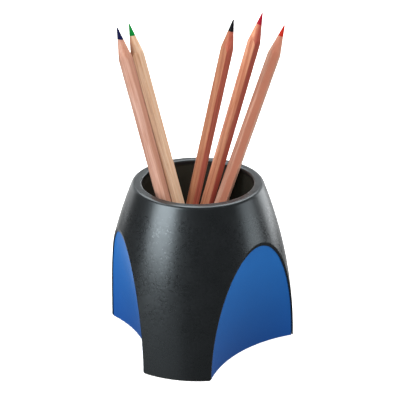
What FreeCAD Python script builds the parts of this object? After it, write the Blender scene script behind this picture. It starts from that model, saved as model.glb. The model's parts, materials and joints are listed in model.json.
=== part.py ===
"""Three-legged desk pencil cup holding five hexagonal coloured pencils.

Millimetres, +Z up. The origin is on the desk, on the axis of the cup; one leg points along -Y and
the other two stand 120 degrees round from it. The three scooped sides lie between the legs.
"""
import FreeCAD, Part
import math
import os

import Sketcher

# The sketch's own horizontal axis, vertical axis and origin, and the points of a line or an arc.
HORIZONTAL = -1
VERTICAL = -2
START = 1
END = 2
CENTRE = 3
FULL_TURN = 360.0

# Driving dimensions, in millimetres unless the name says otherwise.
SIZES = {
    # domed outer shell: its side is one long arc, seen from beside the cup
    "cup_height": 100.0,
    "desk_gap": 0.3,
    "rim_radius": 38.0,
    "dome_arc_radius": 272.8,
    "dome_arc_height": 1.8,
    "shell_wall": 2.2,
    "shell_lip": 0.9,
    "mouth_radius": 32.4,
    "rim_thickness": 2.5,
    "rim_edge_round": 2.2,
    "mouth_edge_round": 1.2,
    "arch_edge_round": 0.35,
    "leg_corner_round": 1.2,
    # scooped sides: each belongs to a slanting cone whose level sections are circles
    "scoop_depth": 35.0,
    "scoop_lean_per_mm": 0.157,
    "scoop_radius": 77.5,
    "scoop_growth_per_mm": 1.25,
    "scoop_low": 10.0,
    "scoop_high": 94.0,
    "scoop_count": 3.0,
    # side panels, each in a rebate behind the thin lip that the shell leaves round its arch
    "panel_recess": 0.3,
    "panel_thickness": 2.0,
    "panel_gap": 0.15,
    "panel_edge_round": 0.4,
    "panel_trim_radius": 500.0,
    # inner well
    "well_foot_radius": 30.6,
    "well_top_radius": 34.6,
    "well_wall": 1.6,
    "well_floor_top": 9.0,
    "well_floor_thickness": 2.0,
    "well_top_gap": 0.1,
    # base
    "mat_thickness": 1.2,
    "mat_inset": 2.0,
    "base_thickness": 2.5,
    "base_gap": 0.2,
    # pencils
    "pencil_corner_radius": 4.04,
    "lead_radius": 1.65,
    "lead_gap": 0.02,
    "tip_radius": 0.3,
    "cone_slope": 0.2,
    "cone_trim_radius": 6.0,
    "cone_trim_above": 2.0,
    "pencil_floor_gap": 0.05,
}

# Where the lower end of each pencil stands on the floor of the well (x, y), how many degrees it
# leans from upright, the heading that it leans towards (from +X towards +Y), its turn about its
# own axis, and its length.
PENCILS = {
    "blue": (4.6, -16.0, 14.0, -178.7, 10.0, 190.0),
    "green": (10.2, -8.6, 14.4, 179.1, 2.0, 190.0),
    "black": (-18.6, -2.3, 11.7, 13.9, -17.0, 190.0),
    "crimson": (-15.6, 10.0, 15.7, 26.7, -8.5, 190.0),
    "orange": (-10.3, -5.7, 23.1, 45.6, -41.0, 187.0),
}
PENCIL_FIELDS = ("foot_x", "foot_y", "lean", "heading", "turn", "length")

# The heading of the middle of each scooped side.
PANELS = {"right": -30.0, "rear": 90.0, "left": 210.0}

doc = FreeCAD.newDocument("pencil_cup")
sheet = doc.addObject("Spreadsheet::Sheet", "sizes")


def fill_sheet():
    """Put every driving dimension in the spreadsheet, one named cell each."""
    cells = dict(SIZES)
    for colour, values in PENCILS.items():
        for field, value in zip(PENCIL_FIELDS, values):
            cells[f"{colour}_{field}"] = value
    for row, (name, value) in enumerate(cells.items(), start=1):
        sheet.set(f"A{row}", name)
        sheet.set(f"B{row}", str(value))
        sheet.setAlias(f"B{row}", name)
    doc.recompute()


def size(name):
    """The value of one named cell."""
    return float(sheet.get(name))


def value_of(expression):
    """The number that an expression over the sheet's cells comes to now."""
    return float(sheet.evalExpression(expression))


def bound(expression):
    """The same expression as seen from another object of the document."""
    names = sorted((sheet.get(f"A{row}") for row in range(1, cell_count() + 1)), key=len, reverse=True)
    for place, name in enumerate(names):
        expression = expression.replace(name, f"<{place}>")
    for place, name in enumerate(names):
        expression = expression.replace(f"<{place}>", f"sizes.{name}")
    return expression


def cell_count():
    """How many named cells the sheet holds."""
    return len(SIZES) + len(PENCILS) * len(PENCIL_FIELDS)


def new_body(name):
    """A body with its own label, which names its file."""
    body = doc.addObject("PartDesign::Body", name)
    body.Label = name
    return body


def new_sketch(body, name, plane, lift=None):
    """A sketch on one of the body's own planes, moved along the plane's normal by an expression."""
    sketch = body.newObject("Sketcher::SketchObject", name)
    sketch.AttachmentSupport = [(origin_feature(body, plane), "")]
    sketch.MapMode = "FlatFace"
    if lift:
        sketch.setExpression(".AttachmentOffset.Base.z", bound(lift))
    return sketch


def turned_to(heading):
    """A placement that turns +X to a heading, in degrees, about the cup's axis."""
    return FreeCAD.Placement(FreeCAD.Vector(), FreeCAD.Rotation(heading, 0, 0))


def origin_feature(body, role):
    """The plane or axis of the body's origin that plays this role."""
    return next(item for item in body.Origin.OriginFeatures if item.Role == role)


def constrain(sketch, kind, *arguments):
    """Add a constraint; a last argument of text is an expression that drives its value."""
    *places, expression = arguments
    if not isinstance(expression, str):
        return sketch.addConstraint(Sketcher.Constraint(kind, *arguments))
    index = sketch.addConstraint(Sketcher.Constraint(kind, *places, value_of(expression)))
    sketch.setExpression(f"Constraints[{index}]", bound(expression))
    return index


def place_point(sketch, edge, point, across, along):
    """Hold one end of an edge at expressions for its two coordinates; None leaves one free."""
    for kind, axis, expression in (("DistanceX", VERTICAL, across), ("DistanceY", HORIZONTAL, along)):
        if expression is None:
            continue
        if value_of(expression) == 0.0:
            constrain(sketch, "PointOnObject", edge, point, axis)
        else:
            constrain(sketch, kind, HORIZONTAL, START, edge, point, expression)


def vector(across, along):
    """A point of a sketch from two expressions."""
    return FreeCAD.Vector(value_of(across), value_of(along), 0)


def draw_line(sketch, begin, finish):
    """A straight edge between two points, each a pair of expressions."""
    return sketch.addGeometry(Part.LineSegment(vector(*begin), vector(*finish)), False)


def draw_arc(sketch, centre, radius, start_angle, end_angle):
    """An arc from numbers, to be held by constraints afterwards; angles in radians."""
    circle = Part.Circle(FreeCAD.Vector(*centre, 0), FreeCAD.Vector(0, 0, 1), radius)
    return sketch.addGeometry(Part.ArcOfCircle(circle, start_angle, end_angle), False)


def draw_circle(sketch, centre, radius):
    """A circle whose centre and radius are expressions."""
    circle = Part.Circle(vector(*centre), FreeCAD.Vector(0, 0, 1), value_of(radius))
    edge = sketch.addGeometry(circle, False)
    place_point(sketch, edge, CENTRE, *centre)
    constrain(sketch, "Radius", edge, radius)
    return edge


def draw_outline(sketch, corners):
    """A closed outline of straight edges through corners that are pairs of expressions."""
    edges = [
        draw_line(sketch, begin, finish)
        for begin, finish in zip(corners, corners[1:] + corners[:1])
    ]
    for edge, following in zip(edges, edges[1:] + edges[:1]):
        constrain(sketch, "Coincident", edge, END, following, START)
    for edge, corner in zip(edges, corners):
        place_point(sketch, edge, START, *corner)


def dome_radius(height, inset=0.0):
    """How far the dome's side, or its copy set in by a distance, stands from the cup's axis."""
    radius = size("dome_arc_radius")
    centre_height = -size("dome_arc_height")
    centre = size("rim_radius") - math.sqrt(radius**2 - (size("cup_height") - centre_height)**2)
    return centre + math.sqrt((radius - inset)**2 - (height - centre_height)**2)


def draw_dome_arc(sketch, inset, low, high):
    """An arc along the dome's side, set in by an expression, between two heights."""
    radius = size("dome_arc_radius") - value_of(inset)
    centre_height = -size("dome_arc_height")
    centre_x = dome_radius(centre_height, value_of(inset)) - radius
    angles = [math.asin((value_of(height) - centre_height) / radius) for height in (low, high)]
    edge = draw_arc(sketch, (centre_x, centre_height), radius, *angles)
    reach = "(cup_height + dome_arc_height)"
    centre = f"rim_radius - sqrt(dome_arc_radius^2 - {reach}^2)"
    place_point(sketch, edge, CENTRE, centre, "-dome_arc_height")
    constrain(sketch, "Radius", edge, f"dome_arc_radius - ({inset})")
    place_point(sketch, edge, START, None, low)
    place_point(sketch, edge, END, None, high)
    return edge


def join_line(sketch, begin_edge, begin_point, finish_edge, finish_point):
    """A straight edge that joins an end of one edge to an end of another."""
    points = [sketch.getPoint(begin_edge, begin_point), sketch.getPoint(finish_edge, finish_point)]
    edge = sketch.addGeometry(Part.LineSegment(*points), False)
    constrain(sketch, "Coincident", edge, START, begin_edge, begin_point)
    constrain(sketch, "Coincident", edge, END, finish_edge, finish_point)
    return edge


def revolve(body, kind, sketch, name):
    """Turn a sketch right round the vertical axis, adding to the body or cutting from it."""
    feature = body.newObject(f"PartDesign::{kind}", name)
    feature.Profile = sketch
    feature.ReferenceAxis = (sketch, ["V_Axis"])
    feature.Angle = FULL_TURN
    doc.recompute()
    return feature


def scoop_section(body, name, height, inset):
    """The circle in which a scoop's cone, grown by an inset, meets the level at a height."""
    sketch = new_sketch(body, name, "XY_Plane", height)
    centre = f"scoop_depth + scoop_radius + (scoop_lean_per_mm + scoop_growth_per_mm) * ({height})"
    radius = f"scoop_radius + scoop_growth_per_mm * ({height}) + {inset}"
    draw_circle(sketch, (centre, "0"), radius)
    return sketch


def scoop_loft(body, kind, name, low, high, inset):
    """The slanting cone of a scoop whose middle lies along +X, between two heights."""
    bottom = scoop_section(body, f"{name}_bottom", low, inset)
    top = scoop_section(body, f"{name}_top", high, inset)
    feature = body.newObject(f"PartDesign::{kind}", name)
    feature.Profile = bottom
    feature.Sections = [(top, [""])]
    feature.Ruled = True
    doc.recompute()
    return feature


def repeat_round(body, feature, name):
    """Repeat a feature evenly round the cup's axis, once for each scoop."""
    pattern = body.newObject("PartDesign::PolarPattern", name)
    pattern.Originals = [feature]
    pattern.Axis = (origin_feature(body, "Z_Axis"), [""])
    pattern.Angle = FULL_TURN
    pattern.setExpression("Occurrences", bound("scoop_count"))
    body.Tip = pattern
    doc.recompute()
    return pattern


def round_edges(body, name, radius, wanted):
    """Round the edges of the body that a test picks out."""
    base = body.Tip
    names = [f"Edge{place}" for place, edge in enumerate(base.Shape.Edges, start=1) if wanted(edge)]
    feature = body.newObject("PartDesign::Fillet", name)
    feature.Base = (base, names)
    feature.setExpression("Radius", bound(radius))
    doc.recompute()
    return feature


def level_circle(radius, height):
    """A test for a level round edge of a given radius at a given height."""
    def wanted(edge):
        box = edge.BoundBox
        level = box.ZLength < 1e-3 and abs(box.ZMax - height) < 1e-3
        return level and abs(box.XMax - radius) < 1e-2 and abs(box.YMax - radius) < 1e-2
    return wanted


def arch_edge(inset):
    """A test for the long curved edges where a scoop cuts one skin of the dome."""
    def wanted(edge):
        if edge.BoundBox.ZLength < size("cup_height") / 2:
            return False
        points = edge.discretize(5)
        gaps = [abs(math.hypot(point.x, point.y) - dome_radius(point.z, inset)) for point in points]
        return max(gaps) < 0.02
    return wanted


def leg_corner(edge):
    """A test for the short level edges at the foot of the lip, three scoops with two ends each."""
    box = edge.BoundBox
    if box.ZLength > 1e-3 or abs(box.ZMax - size("desk_gap")) > 1e-3 or edge.Length > 3.0:
        return False
    middle = edge.discretize(3)[1]
    inset = size("shell_lip") / 2
    return abs(math.hypot(middle.x, middle.y) - dome_radius(middle.z, inset)) < 0.2


def dome_section(body, name, outer_inset, inner_inset):
    """A layer of the dome's wall between two insets, with the flat rim that closes its top."""
    sketch = new_sketch(body, name, "XZ_Plane")
    top_inside = "cup_height - rim_thickness"
    outside = draw_dome_arc(sketch, outer_inset, "desk_gap", "cup_height")
    inside = draw_dome_arc(sketch, inner_inset, "desk_gap", top_inside)
    mouth = draw_line(sketch, ("mouth_radius", "cup_height"), ("mouth_radius", top_inside))
    place_point(sketch, mouth, START, "mouth_radius", "cup_height")
    place_point(sketch, mouth, END, "mouth_radius", top_inside)
    join_line(sketch, outside, END, mouth, START)
    join_line(sketch, mouth, END, inside, END)
    join_line(sketch, inside, START, outside, START)
    return sketch


def make_outer_shell():
    """The black dome: a wall, a flat rim turned in over the well, and three arches with rebates."""
    body = new_body("outer_shell")
    backing = dome_section(body, "backing_section", "shell_lip", "shell_wall")
    revolve(body, "Revolution", backing, "backing")
    behind_panel = "panel_recess + panel_thickness + panel_gap"
    rebate = scoop_loft(body, "SubtractiveLoft", "rebate", "-scoop_low", "scoop_high", behind_panel)
    repeat_round(body, rebate, "rebates")
    skin = dome_section(body, "skin_section", "0", "shell_lip")
    revolve(body, "Revolution", skin, "skin")
    scoop = scoop_loft(body, "SubtractiveLoft", "scoop", "-scoop_low", "scoop_high", "0")
    repeat_round(body, scoop, "scoops")
    round_edges(body, "leg_corners", "leg_corner_round", leg_corner)
    round_edges(body, "rim_edge", "rim_edge_round", level_circle(size("rim_radius"), size("cup_height")))
    mouth_edge = level_circle(size("mouth_radius"), size("cup_height"))
    round_edges(body, "mouth_edge", "mouth_edge_round", mouth_edge)
    round_edges(body, "arch_edges", "arch_edge_round", arch_edge(0.0))
    body.Placement = turned_to(PANELS["right"])
    return body


def panel_face_edge(edge):
    """A test for the long edge round the face of a panel, where it meets the lip of the shell."""
    if edge.BoundBox.ZLength < size("cup_height") / 2:
        return False
    inset = size("shell_lip") + size("panel_gap")
    lean = size("scoop_lean_per_mm") + size("scoop_growth_per_mm")
    for point in edge.discretize(5):
        centre = size("scoop_depth") + size("scoop_radius") + lean * point.z
        radius = size("scoop_radius") + size("scoop_growth_per_mm") * point.z + size("panel_recess")
        off_face = abs(math.hypot(point.x - centre, point.y) - radius)
        off_side = abs(math.hypot(point.x, point.y) - dome_radius(point.z, inset))
        if max(off_face, off_side) > 0.02:
            return False
    return True


def make_side_panel(side, heading):
    """A blue panel: a thin layer behind the scoop, cut off where it meets the dome's inside."""
    body = new_body(f"side_panel_{side}")
    back = "panel_recess + panel_thickness"
    scoop_loft(body, "AdditiveLoft", "panel_back", "desk_gap", "scoop_high", back)
    scoop_loft(body, "SubtractiveLoft", "panel_face", "-scoop_low", "scoop_high + 1", "panel_recess")
    sketch = new_sketch(body, "shell_inside", "XZ_Plane")
    low, high = "-scoop_low", "scoop_high + 1"
    inside = draw_dome_arc(sketch, "shell_lip + panel_gap", low, high)
    edge = draw_line(sketch, ("panel_trim_radius", low), ("panel_trim_radius", high))
    place_point(sketch, edge, START, "panel_trim_radius", low)
    place_point(sketch, edge, END, "panel_trim_radius", high)
    join_line(sketch, inside, START, edge, START)
    join_line(sketch, edge, END, inside, END)
    revolve(body, "Groove", sketch, "trim_to_shell")
    round_edges(body, "face_edge", "panel_edge_round", panel_face_edge)
    body.Placement = turned_to(heading)
    return body


def make_pen_well():
    """The black inner cup: a tapering wall, a floor, and a skirt that stands on the base plate."""
    body = new_body("pen_well")
    sketch = new_sketch(body, "well_section", "XZ_Plane")
    foot = "mat_thickness + base_thickness"
    top = "cup_height - rim_thickness - well_top_gap"
    taper = f"(well_top_radius - well_foot_radius) / ({top} - ({foot}))"
    floor_under = "well_floor_top - well_floor_thickness"

    def inner(height):
        return f"well_foot_radius - well_wall + {taper} * ({height} - ({foot}))"

    draw_outline(sketch, [
        ("0", floor_under),
        (inner(floor_under), floor_under),
        ("well_foot_radius - well_wall", foot),
        ("well_foot_radius", foot),
        ("well_top_radius", top),
        ("well_top_radius - well_wall", top),
        (inner("well_floor_top"), "well_floor_top"),
        ("0", "well_floor_top"),
    ])
    revolve(body, "Revolution", sketch, "well")
    return body


def make_lobed_plate(name, low, thickness, inset):
    """A flat plate with three lobes that fill the legs, clear of the shell and the panels."""
    body = new_body(name)
    disc = new_sketch(body, f"{name}_disc", "XY_Plane", low)
    inner_wall = f"shell_wall + base_gap + {inset}"
    radius = f"sqrt((dome_arc_radius - ({inner_wall}))^2 - ({low} + {thickness} + dome_arc_height)^2)"
    centre = "rim_radius - sqrt(dome_arc_radius^2 - (cup_height + dome_arc_height)^2)"
    draw_circle(disc, ("0", "0"), f"{centre} + {radius}")
    pad = body.newObject("PartDesign::Pad", f"{name}_pad")
    pad.Profile = disc
    pad.setExpression("Length", bound(thickness))
    doc.recompute()
    bites = new_sketch(body, f"{name}_bite", "XY_Plane", low)
    behind = f"panel_recess + panel_thickness + base_gap + {inset}"
    reach = f"scoop_growth_per_mm * ({low})"
    centre_x = f"scoop_depth + scoop_radius + scoop_lean_per_mm * ({low}) + {reach}"
    draw_circle(bites, (centre_x, "0"), f"scoop_radius + {reach} + {behind}")
    pocket = body.newObject("PartDesign::Pocket", f"{name}_pocket")
    pocket.Profile = bites
    pocket.Type = "Length"
    pocket.setExpression("Length", bound(thickness))
    pocket.Reversed = True
    doc.recompute()
    repeat_round(body, pocket, f"{name}_bites")
    body.Placement = turned_to(PANELS["right"])
    return body


def pencil_placement(colour):
    """Where a pencil stands: its lowest corner just clear of the floor of the well."""
    lean = size(f"{colour}_lean")
    drop = size("pencil_corner_radius") * math.sin(math.radians(lean))
    height = size("well_floor_top") + drop + size("pencil_floor_gap")
    foot = FreeCAD.Vector(size(f"{colour}_foot_x"), size(f"{colour}_foot_y"), height)
    leaning = FreeCAD.Rotation(size(f"{colour}_heading"), lean, 0)
    turned = FreeCAD.Rotation(size(f"{colour}_turn") - size(f"{colour}_heading"), 0, 0)
    return FreeCAD.Placement(foot, leaning.multiply(turned))


def sharpen(body, length):
    """Cut the upper end of a pencil's wood to a long cone."""
    sketch = new_sketch(body, "sharpening", "XZ_Plane")
    foot_of_cone = f"{length} - (cone_trim_radius - tip_radius) / cone_slope"
    above = f"{length} + cone_trim_above"
    draw_outline(sketch, [
        ("tip_radius", length),
        ("cone_trim_radius", foot_of_cone),
        ("cone_trim_radius", above),
        ("tip_radius", above),
    ])
    return revolve(body, "Groove", sketch, "cone")


def draw_half_hexagon(sketch):
    """Half of a pencil's hexagonal section, with a groove for the lead in its straight side."""
    corner = "pencil_corner_radius"
    groove = "lead_radius + lead_gap"
    half_width = f"{corner} / 2"
    face = f"{corner} * sqrt(3) / 2"
    corners = [(groove, "0"), (corner, "0"), (half_width, face)]
    corners += [(f"-{half_width}", face), (f"-{corner}", "0"), (f"-({groove})", "0")]
    edges = [draw_line(sketch, *pair) for pair in zip(corners, corners[1:])]
    for edge, following in zip(edges, edges[1:]):
        constrain(sketch, "Coincident", edge, END, following, START)
    for edge, place in zip(edges, corners):
        place_point(sketch, edge, START, *place)
    place_point(sketch, edges[-1], END, None, "0")
    arc = draw_arc(sketch, (0, 0), value_of(groove), 0, math.pi)
    constrain(sketch, "Coincident", arc, CENTRE, HORIZONTAL, START)
    constrain(sketch, "Coincident", arc, START, edges[0], START)
    constrain(sketch, "Coincident", arc, END, edges[-1], END)


def make_slat(colour, name, half_turn):
    """Half of a pencil's wood, split along the lead and cut to a long cone at its upper end."""
    body = new_body(name)
    length = f"{colour}_length"
    sketch = new_sketch(body, "half_hexagon", "XY_Plane")
    draw_half_hexagon(sketch)
    pad = body.newObject("PartDesign::Pad", "slat")
    pad.Profile = sketch
    pad.setExpression("Length", bound(length))
    doc.recompute()
    sharpen(body, length)
    placement = pencil_placement(colour)
    placement.Rotation = placement.Rotation.multiply(FreeCAD.Rotation(half_turn, 0, 0))
    body.Placement = placement
    return body


def make_lead(colour):
    """A pencil's round lead, which the sharpened cone carries on to a blunt point."""
    body = new_body(f"{colour}_pencil_lead")
    length = f"{colour}_length"
    sketch = new_sketch(body, "lead_section", "XZ_Plane")
    shoulder = f"{length} - (lead_radius - tip_radius) / cone_slope"
    draw_outline(sketch, [
        ("0", "0"),
        ("lead_radius", "0"),
        ("lead_radius", shoulder),
        ("tip_radius", length),
        ("0", length),
    ])
    revolve(body, "Revolution", sketch, "lead")
    body.Placement = pencil_placement(colour)
    return body


def make_pencil(colour):
    """The three pieces of one pencil: two glued slats and the lead between them."""
    upper = make_slat(colour, f"{colour}_pencil_upper_slat", 0.0)
    lower = make_slat(colour, f"{colour}_pencil_lower_slat", FULL_TURN / 2)
    return [upper, lower, make_lead(colour)]


def check_document(pieces):
    """Stop if any object failed, or any sub-part isn't one valid solid."""
    for item in doc.Objects:
        if "Invalid" in item.State or "Error" in item.State:
            raise RuntimeError(f"{item.Name} is in state {item.State}")
    for piece in pieces:
        shape = piece.Shape
        if shape.isNull() or not shape.isValid() or len(shape.Solids) != 1:
            raise RuntimeError(f"{piece.Label} isn't one valid solid")


def check_cuts(body):
    """Stop if a cutting feature of a body removed nothing."""
    volume = 0.0
    for feature in body.Group:
        if feature.isDerivedFrom("PartDesign::Feature"):
            cutting = feature.TypeId.endswith(("Groove", "Pocket", "SubtractiveLoft", "PolarPattern"))
            if cutting and feature.Shape.Volume >= volume:
                raise RuntimeError(f"{feature.Name} of {body.Label} cut nothing")
            volume = feature.Shape.Volume


def main():
    """Build every sub-part, check them and write one file for each."""
    fill_sheet()
    pieces = [make_outer_shell(), make_pen_well()]
    pieces += [make_side_panel(side, heading) for side, heading in PANELS.items()]
    pieces.append(make_lobed_plate("base_plate", "mat_thickness", "base_thickness", "0"))
    pieces.append(make_lobed_plate("anti_slip_mat", "0", "mat_thickness", "mat_inset"))
    for colour in PENCILS:
        pieces += make_pencil(colour)
    doc.recompute()
    check_document(pieces)
    for piece in pieces:
        check_cuts(piece)
    os.makedirs("parts", exist_ok=True)
    for piece in pieces:
        piece.Shape.exportStep(f"parts/{piece.Label}.step")
        print(f"{piece.Label:28s} {piece.Shape.Volume:10.1f} mm3")


main()
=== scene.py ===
"""Studio scene of a three-legged desk pencil cup that holds five bare cedar colouring pencils.

Metres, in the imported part's own frame. The cup keeps the part's solids and gets moulded plastic
finishes. Each pencil is modelled again around its own solids, with softened corners, the
scalloped edge where the sharpened cone meets the flats, and grain that runs along the wood.
"""
import json
import math

import bpy
from mathutils import Matrix, Vector


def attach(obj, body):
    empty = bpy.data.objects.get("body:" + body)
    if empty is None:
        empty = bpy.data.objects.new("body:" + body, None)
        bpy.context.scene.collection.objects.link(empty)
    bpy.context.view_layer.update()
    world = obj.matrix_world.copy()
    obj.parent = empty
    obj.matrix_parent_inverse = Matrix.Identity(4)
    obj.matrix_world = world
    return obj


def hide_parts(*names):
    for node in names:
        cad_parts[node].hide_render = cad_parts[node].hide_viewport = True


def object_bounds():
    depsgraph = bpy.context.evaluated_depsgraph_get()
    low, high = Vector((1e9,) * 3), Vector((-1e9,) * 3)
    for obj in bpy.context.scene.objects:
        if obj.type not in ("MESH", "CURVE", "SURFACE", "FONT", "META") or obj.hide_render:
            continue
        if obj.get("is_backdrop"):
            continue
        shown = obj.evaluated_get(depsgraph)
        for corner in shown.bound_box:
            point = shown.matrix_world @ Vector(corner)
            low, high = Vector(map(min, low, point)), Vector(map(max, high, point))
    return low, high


MM = 0.001

# Camera: where it looks, and from where.
AIM = Vector((1.28, 0.29, 87.96)) * MM
VIEW_AZIMUTH = 12.676
VIEW_ELEVATION = 23.573
VIEW_DISTANCE = 815.12 * MM
LENS = 126.0
SENSOR = 36.0

# Pencils: the wood's softened corners and foot, the gap round the lead, the rounding of the lead's
# point, how many steps draw each part, and the angle past which an edge is drawn sharp.
CORNER_ROUND = 0.55 * MM
FOOT_BEVEL = 0.15 * MM
LEAD_GAP = 0.02 * MM
POINT_ROUND = 0.4 * MM
CORNER_STEPS = 10
FLAT_STEPS = 12
CONE_STEPS = 8
LEAD_SIDES = 48
POINT_STEPS = 6
CREASE = math.radians(8.0)
SIXTH_TURN = math.pi / 3

# Places nearer than this count as one, and corners this near the furthest one are corners too.
NEAR = 0.001 * MM
CORNER_SLACK = 5 * NEAR

# Panels: the heights between which their painted shade, a darker tint at the foot, fades out.
PANEL_SHADE_FADE = (2 * MM, 60 * MM)

# Plastic: how big its cloudy patches are, how far they and its eroded texture shift the roughness,
# the heights between which the texture softens towards the rim, and the share of it left there.
CLOUD_PATCH = 12 * MM
CLOUDED = 0.05
ERODED = 0.12
RIM_FADE = (88 * MM, 97 * MM)
RIM_RELIEF = 0.15

# Wood: how far round a pencil the painted shade on a flank reaches, as cosines where it starts and
# where it is full, on the barrel and on the cone, and how strong the cutter's rings are on the cone.
BARREL_SHADE_SPREAD = (0.8, 0.92)
CONE_SHADE_SPREAD = (0.2, 0.95)
CUTTER_MARKS = 0.5

# Each pencil's wood: its slot; the tints of the pale wood, the deep wood and the streaks; the
# flanks tinted darker and redder as painted shade, each with the azimuth that it faces; how far the
# lead is off centre, in millimetres, and towards which azimuth.
WOODS = {
    "blue": (
        "pale_cedar", ((201, 164, 148), (188, 144, 124), (160, 106, 86)),
        [((176, 128, 106), 45)], 0.12, 103),
    # The green pencil's pale and deep tints are painted light, raised to offset the blue pencil's
    # shadow on it; its flank facing -57 is a painted shadow where it sits against the blue pencil, and
    # its flank facing 61 is painted shade.
    "green": (
        "pale_cedar", ((244, 216, 186), (232, 196, 162), (192, 142, 108)),
        [((130, 84, 62), -57), ((200, 170, 144), 61)], 0.04, 103),
    "black": (
        "red_cedar", ((172, 122, 90), (158, 100, 72), (124, 64, 44)),
        [((170, 86, 70), 45)], 0.0, 0),
    "crimson": (
        "red_cedar", ((206, 150, 118), (194, 130, 98), (160, 86, 64)),
        [((154, 70, 60), 45)], 0.0, 0),
    "orange": (
        "red_cedar", ((220, 178, 156), (206, 156, 132), (176, 112, 90)),
        [((176, 116, 94), 45)], 0.0, 0),
}

# Each pencil's lead: its colour and a deeper one that flecks it.
LEADS = {
    "blue": ((13, 15, 64), (7, 9, 36)),
    "green": ((4, 122, 48), (2, 100, 38)),
    "black": ((14, 13, 18), (8, 8, 11)),
    "crimson": ((152, 18, 40), (128, 10, 28)),
    "orange": ((180, 42, 28), (158, 30, 20)),
}

# Stage: the floor's radius, and how many sides the floor and the wall round it have.
FLOOR_REACH = 1.6
WALL_SIDES = 64

# Lamps: how far off they stand, the glow of the surround, and each lamp's azimuth, elevation,
# width and height, all in degrees as seen from the cup, and its face's brightness. The matte ones
# light the cup and don't mirror in it.
LAMP_DISTANCE = 2.0
SURROUND_GLOW = 0.14
LAMPS = {
    "key": (-42.0, 23.0, 35.0, 44.0, 8.0),
    "low": (-35.0, -22.0, 53.0, 28.0, 0.35),
    "front": (20.0, 52.0, 30.0, 26.0, 8.0),
    "side": (98.0, 0.0, 26.0, 33.0, 2.2),
    "high": (75.0, 45.0, 30.0, 30.0, 5.5),
    "right_edge": (145.0, 4.0, 28.0, 35.0, 3.2),
    "left_edge": (-134.0, 4.0, 40.0, 33.0, 1.2),
    "beyond_right": (176.0, -16.0, 24.0, 30.0, 0.65),
    "beyond_left": (205.0, -14.0, 34.0, 34.0, 0.9),
    "horizon": (184.0, 8.0, 39.0, 6.0, 5.0),
    "top": (192.0, 58.0, 60.0, 44.0, 5.0),
}
MATTE_LAMPS = ("front", "high")

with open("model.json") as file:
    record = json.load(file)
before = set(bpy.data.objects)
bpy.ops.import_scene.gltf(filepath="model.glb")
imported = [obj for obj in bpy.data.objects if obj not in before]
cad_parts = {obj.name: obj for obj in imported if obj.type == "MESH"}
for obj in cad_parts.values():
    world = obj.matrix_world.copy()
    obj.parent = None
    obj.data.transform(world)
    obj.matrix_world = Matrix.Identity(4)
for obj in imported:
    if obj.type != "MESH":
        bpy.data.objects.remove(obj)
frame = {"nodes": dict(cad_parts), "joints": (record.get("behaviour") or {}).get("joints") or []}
cad_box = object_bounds()


def tone(red, green, blue):
    """A colour given as display values from 0 to 255, as the linear colour that shaders use."""
    def linear(value):
        share = value / 255
        return share / 12.92 if share <= 0.04045 else ((share + 0.055) / 1.055) ** 2.4
    return (linear(red), linear(green), linear(blue), 1.0)


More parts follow.
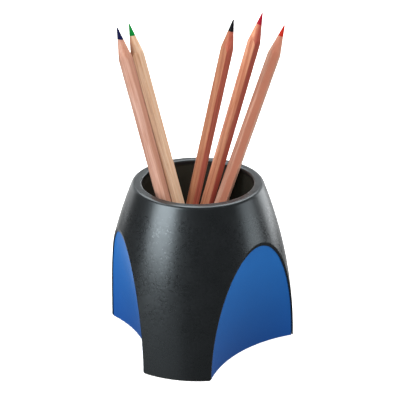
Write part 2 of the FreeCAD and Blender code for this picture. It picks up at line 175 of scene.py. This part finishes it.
class Finish:
    """A material of procedural nodes around one Principled shader, in the piece's own space."""

    def __init__(self, name, **constants):
        self.material = bpy.data.materials.new(name)
        self.material.use_nodes = True
        self.tree = self.material.node_tree
        self.shader = self.tree.nodes["Principled BSDF"]
        for socket, value in constants.items():
            self.shader.inputs[socket.replace("_", " ")].default_value = value
        self.place = self.node("TexCoord").outputs["Object"]

    def node(self, kind, **settings):
        """A new node of a kind, with its settings."""
        node = self.tree.nodes.new(f"ShaderNode{kind}")
        for name, value in settings.items():
            setattr(node, name, value)
        return node

    def feed(self, socket, source):
        """Join an output to an input, or set the input's value."""
        if isinstance(source, bpy.types.NodeSocket):
            self.tree.links.new(source, socket)
        else:
            socket.default_value = source

    def spread(self, stretch, shift=(0.0, 0.0, 0.0)):
        """The piece's own space, shifted and stretched along its axes."""
        mapping = self.node("Mapping")
        self.feed(mapping.inputs["Vector"], self.place)
        self.feed(mapping.inputs["Location"], shift)
        self.feed(mapping.inputs["Scale"], [1 / factor for factor in stretch])
        return mapping.outputs["Vector"]

    def noise(self, grain, detail=2.0, rough=0.5, stretch=(1.0, 1.0, 1.0), shift=(0.0, 0.0, 0.0)):
        """Soft noise, from 0 to 1, whose features are about grain across."""
        noise = self.node("TexNoise")
        self.feed(noise.inputs["Vector"], self.spread(stretch, shift))
        self.feed(noise.inputs["Scale"], 1 / grain)
        self.feed(noise.inputs["Detail"], detail)
        self.feed(noise.inputs["Roughness"], rough)
        return noise.outputs["Fac"]

    def bands(self, direction, period, wander, stretch=(1.0, 1.0, 1.0), shift=(0.0, 0.0, 0.0)):
        """Parallel bands a period apart, which wander from straight."""
        wave = self.node("TexWave", wave_type="BANDS", bands_direction=direction)
        self.feed(wave.inputs["Vector"], self.spread(stretch, shift))
        self.feed(wave.inputs["Scale"], math.pi / (10 * period))
        self.feed(wave.inputs["Distortion"], wander)
        self.feed(wave.inputs["Detail"], 2.0)
        self.feed(wave.inputs["Detail Scale"], 1.0)
        return wave.outputs["Fac"]

    def height(self):
        """How high a place is along the piece's Z axis."""
        split = self.node("SeparateXYZ")
        self.feed(split.inputs[0], self.place)
        return split.outputs["Z"]

    def around(self, direction):
        """How near a place is, going round the piece's Z axis, to a direction: 1 there, -1 opposite."""
        flat, unit, turned = [
            self.node("VectorMath", operation=operation)
            for operation in ("MULTIPLY", "NORMALIZE", "DOT_PRODUCT")
        ]
        self.feed(flat.inputs[0], self.place)
        self.feed(flat.inputs[1], (1.0, 1.0, 0.0))
        self.feed(unit.inputs[0], flat.outputs["Vector"])
        self.feed(turned.inputs[0], unit.outputs["Vector"])
        self.feed(turned.inputs[1], direction)
        return turned.outputs["Value"]

    def between(self, factor, low, high, start=0.0, end=1.0):
        """A number that goes from low to high as the factor goes from start to end."""
        ranged = self.node("MapRange")
        self.feed(ranged.inputs["Value"], factor)
        self.feed(ranged.inputs["From Min"], start)
        self.feed(ranged.inputs["From Max"], end)
        self.feed(ranged.inputs["To Min"], low)
        self.feed(ranged.inputs["To Max"], high)
        return ranged.outputs["Result"]

    def mix(self, factor, first, second):
        """A colour between two colours."""
        mixer = self.node("Mix", data_type="RGBA")
        self.feed(mixer.inputs[0], factor)
        self.feed(mixer.inputs[6], first)
        self.feed(mixer.inputs[7], second)
        return mixer.outputs[2]

    def total(self, *shares):
        """The sum of some numbers."""
        result = shares[0]
        for share in shares[1:]:
            adder = self.node("Math", operation="ADD")
            self.feed(adder.inputs[0], result)
            self.feed(adder.inputs[1], share)
            result = adder.outputs[0]
        return result

    def finish(self, colour, roughness, height, depth):
        """Drive the shader's colour and roughness, and its relief from a height of some depth."""
        self.feed(self.shader.inputs["Base Color"], colour)
        self.feed(self.shader.inputs["Roughness"], roughness)
        bump = self.node("Bump")
        self.feed(bump.inputs["Distance"], depth)
        self.feed(bump.inputs["Height"], height)
        self.feed(self.shader.inputs["Normal"], bump.outputs["Normal"])
        return self.material


def moulded_plastic(name, dark, light, rough, grain, depth, foot=None, **constants):
    """Satin plastic from an eroded mould, slightly mottled; a foot's tint takes over lower down as
    painted shade.
    """
    skin = Finish(name, **constants)
    coarse = skin.noise(grain, detail=2.0)
    fine = skin.noise(grain / 3, detail=1.0, shift=(0.1, 0.2, 0.3))
    cloud = skin.noise(CLOUD_PATCH, detail=3.0, shift=(0.4, 0.1, 0.2))
    relief = skin.total(skin.between(coarse, 0.0, 0.8), skin.between(fine, 0.0, 0.2))
    mottle = skin.total(skin.between(cloud, -0.3, 0.6), skin.between(coarse, -0.2, 0.5))
    colour = skin.mix(mottle, dark, light)
    # painted shade: the colour darkens towards the bottom
    if foot:
        colour = skin.mix(skin.between(skin.height(), 1.0, 0.0, *PANEL_SHADE_FADE), colour, foot)
    texture = skin.between(skin.height(), 1.0, RIM_RELIEF, *RIM_FADE)
    smoother, rougher = skin.between(texture, 0.0, -ERODED), skin.between(texture, 0.0, ERODED)
    clouded = skin.between(cloud, rough - CLOUDED, rough + CLOUDED)
    roughness = skin.total(clouded, skin.between(coarse, smoother, rougher))
    return skin.finish(colour, roughness, relief, skin.between(texture, 0.0, depth))


def cedar(name, tints, shift, shaded_flanks, spread, worked=0.0):
    """Bare cedar with grain along the piece's own Z axis, and painted shade on the flanks that face
    given directions; worked wood has a cutter's rings too.
    """
    pale, deep, streak = tints
    wood = Finish(name, Specular_IOR_Level=0.3)
    place = (0.013 * shift, 0.007 * shift, 0.05 * shift)
    rings = wood.bands("DIAGONAL", 1.5 * MM, 3.0, stretch=(1.0, 1.0, 22.0), shift=place)
    fibres = wood.noise(0.6 * MM, detail=4.0, rough=0.6, stretch=(1.0, 1.0, 40.0), shift=place)
    pores = wood.noise(0.25 * MM, detail=2.0, stretch=(1.0, 1.0, 14.0), shift=place)
    broad = wood.noise(2.2 * MM, detail=2.0, stretch=(1.0, 1.0, 9.0), shift=place)
    figure = wood.total(wood.between(rings, 0.0, 0.4), wood.between(fibres, -0.2, 0.7, 0.3, 0.7))
    body = wood.mix(wood.between(broad, 0.0, 1.0, 0.35, 0.65), pale, deep)
    # painted shade: each flank facing its direction takes a darker, redder tint
    for shade_tint, direction in shaded_flanks:
        body = wood.mix(wood.between(wood.around(direction), 0.0, 1.0, *spread), body, shade_tint)
    colour = wood.mix(wood.between(figure, 0.0, 0.8, 0.2, 1.0), body, streak)
    colour = wood.mix(wood.between(pores, 0.0, 0.55, 0.6, 0.8), colour, streak)
    roughness = wood.between(fibres, 0.5, 0.72)
    relief = wood.total(wood.between(fibres, 0.0, 0.6), wood.between(pores, 0.4, 0.0))
    if worked:
        cuts = wood.bands("Z", 0.45 * MM, 0.8, shift=place)
        relief = wood.total(relief, wood.between(cuts, 0.0, worked))
    return wood.finish(colour, roughness, relief, 0.05 * MM)


def coloured_lead(name, colour, deep):
    """Waxy coloured lead with faint rings from the sharpener."""
    wax = Finish(name, Specular_IOR_Level=0.12)
    specks = wax.noise(0.35 * MM, detail=3.0)
    rings = wax.bands("Z", 0.4 * MM, 1.5)
    tint = wax.mix(wax.between(specks, 0.0, 1.0, 0.35, 0.7), colour, deep)
    relief = wax.total(wax.between(specks, 0.0, 0.5), wax.between(rings, 0.0, 0.5))
    return wax.finish(tint, wax.between(specks, 0.38, 0.6), relief, 0.03 * MM)


def rubber(name):
    """Dull black rubber."""
    mat = Finish(name, Specular_IOR_Level=0.2)
    specks = mat.noise(0.8 * MM, detail=4.0)
    tint = mat.mix(specks, tone(18, 18, 18), tone(34, 34, 33))
    return mat.finish(tint, mat.between(specks, 0.75, 0.95), specks, 0.06 * MM)


def points_of(node):
    """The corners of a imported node's mesh."""
    return [vertex.co.copy() for vertex in frame["nodes"][node].data.vertices]


def centre_of(points):
    """The middle of some points, each place counted once."""
    places = {tuple(round(value / NEAR) for value in point) for point in points}
    return sum((Vector(place) for place in places), Vector()) * NEAR / len(places)


def spoke(angle):
    """The level direction at an angle from X."""
    return Vector((math.cos(angle), math.sin(angle), 0.0))


class Pencil:
    """A pencil's own frame and sizes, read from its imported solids: Z runs from foot to point."""

    def __init__(self, colour):
        self.colour = colour
        joint = next(joint for joint in frame["joints"] if joint["child"] == self.body)
        axis = Vector(joint["axis"]).normalized()
        lead = points_of(f"{self.body}_lead")
        low = min(point.dot(axis) for point in lead)
        foot = centre_of([point for point in lead if point.dot(axis) < low + NEAR])

        def sideways(point):
            return (point - foot) - (point - foot).dot(axis) * axis

        self.length = max(point.dot(axis) for point in lead) - low
        self.lead_radius = max(sideways(point).length for point in lead)
        end = [point for point in lead if (point - foot).dot(axis) > self.length - NEAR]
        self.tip_radius = max(sideways(point).length for point in end)
        edge = [point for point in lead if sideways(point).length > self.lead_radius - NEAR]
        shoulder = max((point - foot).dot(axis) for point in edge)
        self.slope = (self.lead_radius - self.tip_radius) / (self.length - shoulder)
        slat = [sideways(point) for point in points_of(f"{self.body}_upper_slat")]
        self.corner_radius = max(point.length for point in slat)
        corners = [point for point in slat if point.length > self.corner_radius - CORNER_SLACK]
        side = centre_of(corners).normalized()
        turn = Matrix((side.cross(axis), side, axis)).transposed().to_4x4()
        self.place = Matrix.Translation(foot) @ turn

    def across(self, azimuth):
        """The direction across the pencil, in its own frame, that faces an azimuth most."""
        side = self.place.to_3x3().transposed() @ heading(azimuth, 0.0)
        return Vector((side.x, side.y, 0.0)).normalized()

    def facet(self, azimuth):
        """The direction, in the pencil's own frame, of the flat that faces an azimuth most."""
        side = self.across(azimuth)
        step = round(math.atan2(side.y, side.x) / SIXTH_TURN - 0.5)
        return spoke((step + 0.5) * SIXTH_TURN)

    @property
    def body(self):
        """The name of the body that the pencil's pieces ride on."""
        return f"{self.colour}_pencil"

    def on_cone(self, point):
        """The place on the sharpened cone straight above a place on the pencil's foot."""
        return Vector((point.x, point.y, self.length - (point.length - self.tip_radius) / self.slope))


def hexagon(corner_radius):
    """Points round a hexagon with softened corners, two of them on the X axis."""
    reach = corner_radius - CORNER_ROUND / math.cos(SIXTH_TURN / 2)
    turns = [step / CORNER_STEPS - 0.5 for step in range(CORNER_STEPS + 1)]
    arcs = []
    for corner in range(6):
        centre = spoke(corner * SIXTH_TURN) * reach
        arcs.append([centre + spoke((corner + turn) * SIXTH_TURN) * CORNER_ROUND for turn in turns])
    outline = []
    for arc, following in zip(arcs, arcs[1:] + arcs[:1]):
        outline += arc
        outline += [arc[-1].lerp(following[0], step / FLAT_STEPS) for step in range(1, FLAT_STEPS)]
    return outline


def ring_mesh(name, rings, closed, materials, material_of):
    """A mesh of quads between rings; closed joins the last ring to the first, else both are capped."""
    count = len(rings[0])
    points = [point for ring in rings for point in ring]
    faces = []
    marks = []
    pairs = len(rings) if closed else len(rings) - 1
    for row in range(pairs):
        here, above = row * count, (row + 1) % len(rings) * count
        for step in range(count):
            after = (step + 1) % count
            faces.append((here + step, here + after, above + after, above + step))
            marks.append(material_of(row))
    if not closed:
        faces.append(tuple(reversed(range(count))))
        faces.append(tuple(range(len(points) - count, len(points))))
        marks += [material_of(0), material_of(pairs - 1)]
    mesh = bpy.data.meshes.new(name)
    mesh.from_pydata(points, [], faces)
    for material in materials:
        mesh.materials.append(material)
    mesh.polygons.foreach_set("material_index", marks)
    mesh.polygons.foreach_set("use_smooth", [True] * len(faces))
    mesh.set_sharp_from_angle(angle=CREASE)
    mesh.update()
    piece = bpy.data.objects.new(name, mesh)
    bpy.context.scene.collection.objects.link(piece)
    return piece


def make_wood(pencil, materials, shift):
    """The glued slats as one piece: hexagonal barrel, scalloped cone and the bore for the lead."""
    outline = hexagon(pencil.corner_radius)
    bore = [shift + point.normalized() * (pencil.lead_radius + LEAD_GAP) for point in outline]
    rings = [
        [point - point.normalized() * FOOT_BEVEL for point in outline],
        [point + Vector((0, 0, FOOT_BEVEL)) for point in outline],
    ]
    barrel_rings = len(rings)
    for step in range(CONE_STEPS + 1):
        rings.append([
            pencil.on_cone(outer.lerp(inner, step / CONE_STEPS)) for outer, inner in zip(outline, bore)
        ])
    cone_end = len(rings) - 1
    rings.append(bore)

    def material_of(row):
        return 1 if barrel_rings <= row < cone_end else 0

    return ring_mesh(f"{pencil.colour}_pencil_wood", rings, True, materials, material_of)


def make_lead(pencil, material, shift):
    """The round lead: flush with the foot of the wood, then a cone to a slightly blunted point."""
    circle = [spoke(step / LEAD_SIDES * 2 * math.pi) for step in range(LEAD_SIDES)]
    blunt = pencil.length - POINT_ROUND
    blunt_radius = pencil.tip_radius + pencil.slope * POINT_ROUND
    side = [shift + point * pencil.lead_radius for point in circle]
    rings = [side, [pencil.on_cone(point) for point in side]]
    for step in range(POINT_STEPS):
        angle = step / POINT_STEPS * math.pi / 2
        level = Vector((0, 0, blunt + POINT_ROUND * math.sin(angle)))
        rings.append([point * blunt_radius * math.cos(angle) + level for point in circle])
    return ring_mesh(f"{pencil.colour}_pencil_point", rings, False, [material], lambda row: 0)


def make_pencil(pencil, place, wood, lead):
    """A pencil's wood and lead, in place on the pencil's body."""
    slot, shades, sides, off_centre, off_towards = wood
    tints = [tone(*shade) for shade in shades]
    # painted shade: the darker tints go on the flats that face the given azimuths
    shaded_flanks = [(tone(*shade), pencil.facet(azimuth)) for shade, azimuth in sides]
    shift = pencil.across(off_towards) * off_centre * MM
    barrel = cedar(f"{pencil.colour}_cedar", tints, place, shaded_flanks, BARREL_SHADE_SPREAD)
    cone = cedar(f"{pencil.colour}_cut_cedar", tints, place, shaded_flanks, CONE_SHADE_SPREAD, CUTTER_MARKS)
    wood = make_wood(pencil, [barrel, cone], shift)
    point = make_lead(pencil, lead, shift)
    for piece in (wood, point):
        piece.matrix_world = pencil.place
        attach(piece, pencil.body)
    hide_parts(f"{pencil.body}_upper_slat", f"{pencil.body}_lower_slat")
    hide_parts(f"{pencil.body}_lead")


def paint(node, material):
    """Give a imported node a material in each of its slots."""
    for place in frame["nodes"][node].material_slots:
        place.material = material


def dress_cup():
    """New finishes on the cup's own solids."""
    shell = moulded_plastic(
        "shell_plastic", tone(12, 13, 14), tone(22, 23, 24), rough=0.3, grain=1.4 * MM,
        depth=0.045 * MM, Specular_IOR_Level=0.8, Specular_Tint=(0.8, 0.93, 1.0, 1.0))
    well = moulded_plastic(
        "well_plastic", tone(30, 30, 25), tone(44, 44, 37), rough=0.55, grain=0.5 * MM,
        depth=0.04 * MM, Specular_IOR_Level=0.3)
    # the panels' foot tint is painted shade, darker towards the bottom
    panel = moulded_plastic(
        "panel_plastic", tone(26, 108, 188), tone(32, 116, 200), rough=0.42, grain=0.5 * MM,
        depth=0.02 * MM, foot=tone(16, 76, 150), Specular_IOR_Level=0.5)
    base = moulded_plastic(
        "base_plastic", tone(18, 18, 18), tone(28, 28, 28), rough=0.5, grain=0.6 * MM,
        depth=0.04 * MM)
    paint("outer_shell", shell)
    paint("pen_well", well)
    paint("base_plate", base)
    paint("anti_slip_mat", rubber("mat_rubber"))
    for side in ("right", "rear", "left"):
        paint(f"side_panel_{side}", panel)


def make_pencils():
    """Five pencils, each cut from wood of its own tint."""
    for place, (colour, wood) in enumerate(WOODS.items(), start=1):
        lead = coloured_lead(f"{colour}_lead", *[tone(*shade) for shade in LEADS[colour]])
        make_pencil(Pencil(colour), place, wood, lead)


def heading(azimuth, elevation):
    """The direction towards a place seen at an azimuth, from -Y towards +X, and an elevation."""
    turn, rise = math.radians(azimuth), math.radians(elevation)
    return Vector((math.sin(turn) * math.cos(rise), -math.cos(turn) * math.cos(rise), math.sin(rise)))


def face(thing, target):
    """Turn a lamp or a camera to look at a point."""
    thing.rotation_euler = (target - thing.location).to_track_quat("-Z", "Y").to_euler()


def soft_light(name, azimuth, elevation, width, height, glow):
    """A soft box that looks at the cup, from its line in the table of lamps."""
    lamp = bpy.data.lights.new(name, "AREA")
    lamp.shape = "RECTANGLE"
    lamp.size, lamp.size_y = [
        2 * LAMP_DISTANCE * math.tan(math.radians(spread / 2)) for spread in (width, height)
    ]
    lamp.energy = glow * math.pi * lamp.size * lamp.size_y
    box = bpy.data.objects.new(name, lamp)
    bpy.context.scene.collection.objects.link(box)
    box.location = AIM + heading(azimuth, elevation) * LAMP_DISTANCE
    face(box, AIM)
    box.visible_camera = False
    box.visible_glossy = name not in MATTE_LAMPS


def stage_piece(name, points, faces, material):
    """A part of the stage: the camera sees it, and it takes no part in the light on the cup."""
    mesh = bpy.data.meshes.new(name)
    mesh.from_pydata(points, [], faces)
    mesh.materials.append(material)
    piece = bpy.data.objects.new(name, mesh)
    bpy.context.scene.collection.objects.link(piece)
    piece.visible_diffuse = piece.visible_glossy = piece.visible_shadow = False
    piece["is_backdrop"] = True


def lit_paper(name, patch, glow, base):
    """Pale paper that glows, so that it stays pale however far it reaches; the base takes light."""
    paper = Finish(name, Specular_IOR_Level=0.0, Emission_Strength=glow)
    cloud = paper.noise(patch, detail=3.0)
    shine = paper.mix(cloud, tone(240, 240, 240), tone(244, 244, 244))
    paper.feed(paper.shader.inputs["Emission Color"], shine)
    tint = paper.mix(cloud, base, tone(250, 250, 250)) if base else tone(0, 0, 0)
    return paper.finish(tint, paper.between(cloud, 0.85, 0.95), cloud, 0.02 * MM)


def make_stage():
    """A wide pale floor, and a pale wall round it that the camera sees past the floor's edge."""
    level = Vector((0, 0, cad_box[0][2]))
    rim = [spoke(step / WALL_SIDES * 2 * math.pi) * FLOOR_REACH + level for step in range(WALL_SIDES)]
    top = [point + Vector((0, 0, FLOOR_REACH)) for point in rim]
    pairs = [(step, (step + 1) % WALL_SIDES) for step in range(WALL_SIDES)]
    sides = [(near, far, WALL_SIDES + far, WALL_SIDES + near) for near, far in pairs]
    lid = [tuple(range(WALL_SIDES, 2 * WALL_SIDES))]
    floor_paper = lit_paper("floor_paper", patch=0.05, glow=0.55, base=tone(246, 246, 246))
    wall_paper = lit_paper("wall_paper", patch=2.0, glow=1.1, base=None)
    stage_piece("floor", rim, [tuple(range(WALL_SIDES))], floor_paper)
    stage_piece("wall", rim + top, sides + lid, wall_paper)


def make_lights():
    """A bright soft box at the left front, dimmer ones all round and above, and a dim surround."""
    for name, settings in LAMPS.items():
        soft_light(name, *settings)
    world = bpy.data.worlds.new("studio")
    world.use_nodes = True
    world.node_tree.nodes["Background"].inputs["Color"].default_value = (1.0, 1.0, 1.0, 1.0)
    world.node_tree.nodes["Background"].inputs["Strength"].default_value = SURROUND_GLOW
    bpy.context.scene.world = world


def make_camera():
    """The camera, looking down at the cup from a little right of the front leg."""
    data = bpy.data.cameras.new("camera")
    data.lens = LENS
    data.sensor_width = SENSOR
    camera = bpy.data.objects.new("camera", data)
    bpy.context.scene.collection.objects.link(camera)
    camera.location = AIM + heading(VIEW_AZIMUTH, VIEW_ELEVATION) * VIEW_DISTANCE
    face(camera, AIM)
    bpy.context.scene.camera = camera


def write_sizes():
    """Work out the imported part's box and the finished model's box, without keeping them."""
    boxes = {"cad": cad_box, "visual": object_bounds()}
    {name: [list(corner) for corner in box] for name, box in boxes.items()}


dress_cup()
make_pencils()
make_stage()
make_lights()
make_camera()
bpy.context.scene.view_settings.view_transform = "Standard"
write_sizes()
